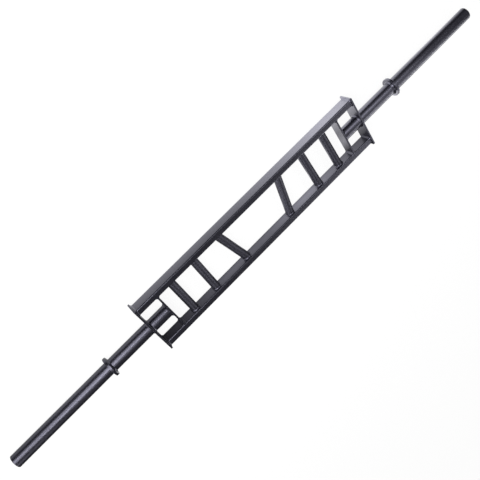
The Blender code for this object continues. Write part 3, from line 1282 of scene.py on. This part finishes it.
@dataclass
class Collar:
    """Ring that stops the plates, with a smooth bead on its inner face.

    Attributes:
        side: Which half of the bar.
        pipe_radius: The pipe's radius, and the ring's bore.
        edge: Radius of the ring's rounded edges.
        edge_steps: Parts in each rounded edge.
        steps: Divisions round the axis.
        weld_leg: Leg of the bead.
        ripple_height: Height of the bead's ripples, which hardly show.
    """

    side: Side
    pipe_radius: float = PIPE_RADIUS
    edge: float = 1.2 * MM
    edge_steps: int = 6
    steps: int = 144
    weld_leg: float = 5.0 * MM
    ripple_height: float = 0.05 * MM

    def build(self, maker: Maker) -> None:
        """Makes the ring and its bead.

        Args:
            maker: Places the pieces.
        """
        node = f"{self.side.word}_collar"
        box = NodeBox(node)
        inner, outer = box.ends(self.side)
        near, far = abs(inner), abs(outer)
        rim = box.size.z / 2
        edge = self.edge
        profile = [(near, self.pipe_radius)]
        profile += arc((near + edge, rim - edge), edge, 180, 90, self.edge_steps)
        profile += arc((far - edge, rim - edge), edge, 90, 0, self.edge_steps)
        profile.append((far, self.pipe_radius))
        maker.place(node, turned(node, profile, self.side, self.steps), Slot.SLEEVE)
        bead = round_pipe_bead(f"{node}_weld", self.weld_leg, self.pipe_radius, inner, -self.side.value)
        replace(bead, ripple_height=self.ripple_height, hollow=0.0).build(maker)


@dataclass
class Sleeve:
    """One pipe that is the shaft and the loading sleeve, with its end plug and its welded collar.

    Attributes:
        side: Which half of the bar.
        radius: The pipe's radius.
        bore: Radius of its hollow.
        end_round: Radius of its rounded outer end.
        end_steps: Parts in that rounding.
        lip_round: Radius that eases the hollow's edge.
        lip_steps: Parts in that edge.
        steps: Divisions round the axis.
    """

    side: Side
    radius: float = PIPE_RADIUS
    bore: float = 20.0 * MM
    end_round: float = 2.5 * MM
    end_steps: int = 10
    lip_round: float = 0.5 * MM
    lip_steps: int = 3
    steps: int = 144

    def build(self, maker: Maker) -> None:
        """Makes the pipe, the plug, the collar and the collar's bead.

        Args:
            maker: Places the pieces.
        """
        node = f"{self.side.word}_sleeve_pipe"
        start, end = (abs(place) for place in NodeBox(node).ends(self.side))
        rounding, lip = self.end_round, self.lip_round
        profile = [(start, self.radius)]
        profile += arc((end - rounding, self.radius - rounding), rounding, 90, 0, self.end_steps)
        profile += reversed(arc((end - lip, self.bore + lip), lip, 270, 360, self.lip_steps))
        profile.append((start, self.bore))
        maker.place(node, turned(node, profile, self.side, self.steps), Slot.SLEEVE)
        EndPlug(self.side).build(maker)
        Collar(self.side).build(maker)


@dataclass
class Grip:
    """Round tube from rail to rail, with its ends cut flat on the rails and a bead round each.

    Attributes:
        side: Which half of the bar.
        place: Which grip of that half.
        lean: How far it is turned from square to the rails, in radians.
        radius: The tube's radius.
        wall: Thickness of its wall.
        seat: Distance from the bar's axis to the rails' inner faces.
        steps: Divisions round the tube.
        weld_leg: Leg of the beads.
        weld_pitch: Length of one ripple of the beads.
        weld_middle: How far a bead's middle lies outside the tube, for its length.
        turn_step: Turn to either side of a point that gives the bead's direction there, in radians.
    """

    side: Side
    place: GripPlace
    lean: float
    radius: float = 16.0 * MM
    wall: float = 3.0 * MM
    seat: float = 81.0 * MM
    steps: int = 96
    weld_leg: float = 4.0 * MM
    weld_pitch: float = 2.1 * MM
    weld_middle: float = 1.0 * MM
    turn_step: float = 0.01

    def __post_init__(self) -> None:
        """Finds the tube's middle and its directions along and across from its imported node."""
        self.node = f"{self.side.word}_{self.place.value}_grip"
        self.middle = Vector((NodeBox(self.node).centre.x, 0.0, 0.0))
        self.axis = Vector((self.side.value * math.sin(self.lean), math.cos(self.lean), 0.0))
        self.across = Vector((self.axis.y, -self.axis.x, 0.0))

    def build(self, maker: Maker) -> None:
        """Makes the tube and its two beads.

        Args:
            maker: Places the pieces.
        """
        bore = self.radius - self.wall
        corners = ((self.radius, -self.seat), (self.radius, self.seat), (bore, self.seat), (bore, -self.seat))
        rings = [self._ring(radius, level) for radius, level in corners]
        maker.place(self.node, lofted(self.node, rings, joined=True), Slot.GRIP)
        for rail in RailPlace:
            self._weld(rail).build(maker)

    def _point(self, radius: float, turn: float, level: float) -> Vector:
        """Where a line along the tube meets the upright plane at one place on Y.

        Args:
            radius: The line's distance from the tube's own axis.
            turn: Its turn about that axis.
            level: The plane's place on Y.

        Returns:
            The point.
        """
        offset = self.across * (radius * math.cos(turn)) + Z_AXIS * (radius * math.sin(turn))
        return self.middle + offset + self.axis * ((level - offset.y) / self.axis.y)

    def _ring(self, radius: float, level: float) -> Ring:
        """The tube's slanted section in the upright plane at one place on Y."""
        return [self._point(radius, math.tau * number / self.steps, level) for number in range(self.steps)]

    def _weld(self, rail: RailPlace) -> WeldBead:
        """The bead at one rail, which leans with the tube.

        Args:
            rail: Which rail.

        Returns:
            The bead.
        """
        level = rail.value * self.seat

        def station(share: float) -> Station:
            """The place along the corner.

            Args:
                share: How far round the tube, 0 to 1.

            Returns:
                The station there.
            """
            turn = math.tau * share
            root = self._point(self.radius, turn, level)
            after = self._point(self.radius, turn + self.turn_step, level)
            before = self._point(self.radius, turn - self.turn_step, level)
            out = (after - before).cross(Y_AXIS).normalized()
            if out.dot(root - self._point(0.0, 0.0, level)) < 0:
                out = -out
            return Station(root, out, self.axis * -rail.value)

        node = f"{self.side.word}_{self.place.value}_{rail.word}_weld"
        length = math.tau * (self.radius + self.weld_middle)
        return WeldBead(node, self.weld_leg, station, length, ripple_pitch=self.weld_pitch)


@dataclass
class SwissBar:
    """The whole bar.

    Attributes:
        maker: Places the pieces.
        leans: How far each grip is turned from square to the rails, in radians.
    """

    maker: Maker
    leans: Mapping[GripPlace, float] = field(
        default_factory=lambda: {
            GripPlace.OUTER: 0.0,
            GripPlace.MIDDLE: 0.0,
            GripPlace.INNER: math.radians(13.5),
        }
    )

    def build(self) -> None:
        """Makes every sub-assembly in order, from the frame outwards."""
        for place in RailPlace:
            Rail(place).build(self.maker)
        for side in Side:
            EndPlate(side).build(self.maker)
            CrossPlate(side).build(self.maker)
            Sleeve(side).build(self.maker)
            for place, lean in self.leans.items():
                Grip(side, place, lean).build(self.maker)


# Studio


@dataclass(frozen=True)
class Softbox:
    """A rectangular lamp behind cloth, hung round the bar and turned to its middle.

    Attributes:
        title: The lamp's name.
        azimuth: Where it hangs, in degrees from +X towards +Y.
        elevation: How high it hangs, in degrees.
        brightness: How bright its face is; 1 shows as white.
        distance: Metres from the bar's middle.
        width: Its level side.
        height: Its upright side.
    """

    title: str
    azimuth: float
    elevation: float
    brightness: float
    distance: float = 2.4
    width: float = 1.0
    height: float = 0.7

    def moved_back(self, distance: float) -> "Softbox":
        """The same lamp at another distance, sized so that it looks as big from the bar.

        Args:
            distance: Metres from the bar's middle.

        Returns:
            The moved lamp.
        """
        growth = distance / self.distance
        return replace(self, distance=distance, width=self.width * growth, height=self.height * growth)

    def build(self) -> None:
        """Hangs the lamp."""
        light = bpy.data.lights.new(self.title, "AREA")
        light.shape = "RECTANGLE"
        light.size = self.width
        light.size_y = self.height
        light.energy = self.brightness * math.pi * self.width * self.height
        lamp = bpy.data.objects.new(self.title, light)
        turn = math.radians(self.azimuth)
        rise = math.radians(self.elevation)
        away = Vector((math.cos(rise) * math.cos(turn), math.cos(rise) * math.sin(turn), math.sin(rise)))
        facing = (-away).to_track_quat("-Z", "Y").to_matrix().to_4x4()
        lamp.matrix_world = Matrix.Translation(away * self.distance) @ facing
        lamp.visible_camera = False
        bpy.context.scene.collection.objects.link(lamp)


@dataclass(frozen=True)
class LightPool:
    """A pool of light painted on the floor as a glow that only gloss shows, brightest in its middle.

    Attributes:
        brightness: How bright its middle shows; 1 is white.
        middle: Where it lies, along X and Y.
        reach: How far it goes from its middle along X and Y.
    """

    brightness: float
    middle: tuple[float, float]
    reach: tuple[float, float]

    def level(self, graph: Graph, place: Wire) -> Wire:
        """How bright the pool shows at each place of the floor.

        Args:
            graph: The floor's graph.
            place: Where on the floor.

        Returns:
            The brightness.
        """
        middle = (*self.middle, 0.0)
        scale = (1.0 / self.reach[0], 1.0 / self.reach[1], 1.0)
        offset = graph.node("ShaderNodeVectorMath", {"operation": "SUBTRACT"}, {0: place, 1: middle})[0]
        values = {"Vector": graph.stretch(offset, scale)}
        fall = graph.node("ShaderNodeTexGradient", {"gradient_type": "QUADRATIC_SPHERE"}, values)["Fac"]
        return fall * self.brightness


@dataclass
class Studio:
    """Pale floor with painted pools of light that only gloss shows, plain pale surroundings and soft lamps.

    Attributes:
        floor_level: Height of the floor, just under the collars, which the bar stands on.
        floor_half: Half the floor's side.
        floor_colour: The paper's colour.
        fibre_size: Metres between the paper's fibres.
        fibre_shade: Darkest share of the paper's colour among its fibres.
        floor_white: How much of the floor's look to the camera is plain white, and not lit paper.
        white_level: Strength of that white; with the lit paper's share it comes to just over 1.
        room_level: How bright the surroundings are, but for the camera.
        pools: Pools of light painted on the floor as a glow, which show only in gloss.
        lamps: The softboxes.
    """

    floor_level: float = -39.1 * MM
    floor_half: float = 15.0
    floor_colour: Colour = (0.80, 0.80, 0.80)
    fibre_size: float = 4 * MM
    fibre_shade: float = 0.985
    floor_white: float = 0.86
    white_level: float = 1.07
    room_level: float = 0.10
    # Painted pools of light: a glow on the floor that only gloss shows
    pools: Sequence[LightPool] = (
        LightPool(brightness=3.9, middle=(0.48, 0.18), reach=(0.75, 0.40)),
        LightPool(brightness=1.8, middle=(-0.30, 0.11), reach=(3.0, 0.15)),
        LightPool(brightness=2.7, middle=(0.22, -0.05), reach=(0.46, 0.06)),
        LightPool(brightness=1.7, middle=(-0.18, -0.05), reach=(0.5, 0.06)),
        LightPool(brightness=2.5, middle=(1.02, 0.04), reach=(0.6, 0.14)),
        LightPool(brightness=0.9, middle=(1.15, -0.30), reach=(0.9, 0.60)),
        LightPool(brightness=0.5, middle=(-0.90, 0.03), reach=(0.7, 0.07)),
        LightPool(brightness=3.4, middle=(0.70, -0.07), reach=(0.15, 0.08)),
        LightPool(brightness=1.3, middle=(-0.72, -0.07), reach=(0.15, 0.07)),
    )
    lamps: Sequence[Softbox] = (
        Softbox("key_softbox", azimuth=138.5, elevation=53.5, brightness=7.0, width=1.3),
        Softbox("left_rear_softbox", azimuth=150, elevation=35, brightness=1.6),
        Softbox("rear_softbox", azimuth=120, elevation=35, brightness=3.4),
        Softbox("right_rear_softbox", azimuth=36, elevation=47, brightness=3.7),
        Softbox("right_high_softbox", azimuth=0, elevation=50, brightness=1.1),
        Softbox("right_front_softbox", azimuth=-30, elevation=35, brightness=1.1),
        Softbox("rear_high_softbox", azimuth=69, elevation=62, brightness=1.7, width=1.8),
        Softbox("overhead_softbox", azimuth=180, elevation=67, brightness=1.2),
        Softbox("left_low_softbox", azimuth=160, elevation=26, brightness=6.0),
        Softbox("far_low_left_softbox", azimuth=180, elevation=7, brightness=7.0).moved_back(FAR_LAMPS),
        Softbox("far_low_front_softbox", azimuth=-60, elevation=7, brightness=4.4).moved_back(FAR_LAMPS),
        Softbox("far_rear_softbox", azimuth=120, elevation=35, brightness=1.4).moved_back(FAR_LAMPS),
        Softbox("far_right_rear_softbox", azimuth=60, elevation=35, brightness=0.65).moved_back(FAR_LAMPS),
        Softbox("far_front_softbox", azimuth=-60, elevation=35, brightness=2.2).moved_back(FAR_LAMPS),
        Softbox("far_left_front_softbox", azimuth=220, elevation=40, brightness=2.3).moved_back(FAR_LAMPS),
    )

    def build(self) -> None:
        """Lays the floor, sets the surroundings and hangs the lamps."""
        self._floor()
        self._room()
        for softbox in self.lamps:
            softbox.build()
            log.info("lamp %s, brightness %.2f", softbox.title, softbox.brightness)

    def _floor(self) -> None:
        """A sheet of paper under the bar, which the camera sees as white where no shadow falls, and which
        gloss sees as dark but for its painted pools of light.
        """
        half = self.floor_half
        mesh = bpy.data.meshes.new("paper_floor")
        corners = [(-half, -half, 0.0), (half, -half, 0.0), (half, half, 0.0), (-half, half, 0.0)]
        mesh.from_pydata(corners, [], [(0, 1, 2, 3)])
        floor = bpy.data.objects.new("paper_floor", mesh)
        floor.location = (0.0, 0.0, self.floor_level)
        bpy.context.scene.collection.objects.link(floor)
        paper = bpy.data.materials.new("pale_paper")
        paper.use_nodes = True
        graph = Graph(paper.node_tree)
        place = graph.node("ShaderNodeTexCoord")["Object"]
        path = graph.node("ShaderNodeLightPath")
        fibres = graph.cloud(place, self.fibre_size, detail=3.0, roughness=0.6)
        dark = opaque(tuple(channel * self.fibre_shade for channel in self.floor_colour))
        colour = graph.mix(fibres, dark, opaque(self.floor_colour))
        lit = graph.node("ShaderNodeBsdfDiffuse", {}, {"Color": colour})["BSDF"]
        # Gloss sees the painted pools of light in place of the lit paper
        gloss = path["Is Glossy Ray"].at_least(path["Is Transmission Ray"])
        shader = graph.blend(gloss, lit, self._shown(graph, place))
        white = graph.node("ShaderNodeEmission", {}, {"Color": WHITE, "Strength": self.white_level})
        shader = graph.blend(path["Is Camera Ray"] * self.floor_white, shader, white["Emission"])
        graph.node("ShaderNodeOutputMaterial", {}, {"Surface": shader})
        mesh.materials.append(paper)

    def _shown(self, graph: Graph, place: Wire) -> Wire:
        """The floor as gloss shows it, dark but for its painted pools of light, a glow that stands in for lit
        paper.

        Args:
            graph: The floor's graph.
            place: Where on the floor.

        Returns:
            The glowing shader.
        """
        level = self.pools[0].level(graph, place)
        for pool in self.pools[1:]:
            level = level + pool.level(graph, place)
        grey = graph.node("ShaderNodeCombineXYZ", {}, {0: level, 1: level, 2: level})[0]
        return graph.node("ShaderNodeEmission", {}, {"Color": grey})["Emission"]

    def _room(self) -> None:
        """White behind the floor for the camera, and an even level from all round otherwise."""
        world = bpy.data.worlds.new("studio_room")
        world.use_nodes = True
        graph = Graph(world.node_tree)
        path = graph.node("ShaderNodeLightPath")
        even = graph.node("ShaderNodeBackground", {}, {"Color": WHITE, "Strength": self.room_level})
        seen = graph.node("ShaderNodeBackground", {}, {"Color": WHITE, "Strength": 1.0})
        shader = graph.blend(path["Is Camera Ray"], even["Background"], seen["Background"])
        graph.node("ShaderNodeOutputWorld", {}, {"Surface": shader})
        bpy.context.scene.world = world


@dataclass(frozen=True)
class PhotoCamera:
    """The camera at the photograph's place, turned so that the bar runs from corner to corner.

    Attributes:
        place: Where it stands.
        aim: What the middle of its view is on.
        roll: How far it is turned about its view, in degrees.
        lens: Focal length in millimetres.
        sensor: Width of the sensor in millimetres.
        shift: Sideways and upward shift of the frame, as a share of its width.
        clip: Least and greatest distance that it sees, in metres.
    """

    place: tuple[float, float, float] = (-0.439211, 1.282973, 1.809469)
    aim: tuple[float, float, float] = (-0.098208, -0.010437, 0.0)
    roll: float = 44.957
    lens: float = 46.353
    sensor: float = 36.0
    shift: tuple[float, float] = (-0.00104, 0.00104)
    clip: tuple[float, float] = (0.05, 100.0)

    def build(self) -> None:
        """Sets the camera up as the scene's own."""
        data = bpy.data.cameras.new("photo_camera")
        data.sensor_width = self.sensor
        data.lens = self.lens
        data.shift_x, data.shift_y = self.shift
        data.clip_start, data.clip_end = self.clip
        forward = (Vector(self.aim) - Vector(self.place)).normalized()
        level = (X_AXIS - forward * forward.x).normalized()
        above = level.cross(forward)
        turn = math.radians(self.roll)
        right = level * math.cos(turn) - above * math.sin(turn)
        up = level * math.sin(turn) + above * math.cos(turn)
        camera = bpy.data.objects.new("photo_camera", data)
        columns = Matrix((right, up, -forward)).transposed().to_4x4()
        camera.matrix_world = Matrix.Translation(self.place) @ columns
        bpy.context.scene.collection.objects.link(camera)
        bpy.context.scene.camera = camera


def write_sizes() -> None:
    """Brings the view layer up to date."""
    bpy.context.view_layer.update()


def main() -> None:
    """Builds the camera, the studio and the bar."""
    logging.basicConfig(level=logging.INFO, format="%(name)s: %(message)s")
    bpy.context.scene.view_settings.view_transform = "Standard"
    PhotoCamera().build()
    Studio().build()
    maker = Maker(Finishes())
    SwissBar(maker).build()
    log.info("%d pieces made", maker.made)
    write_sizes()


if __name__ == "__main__":
    main()
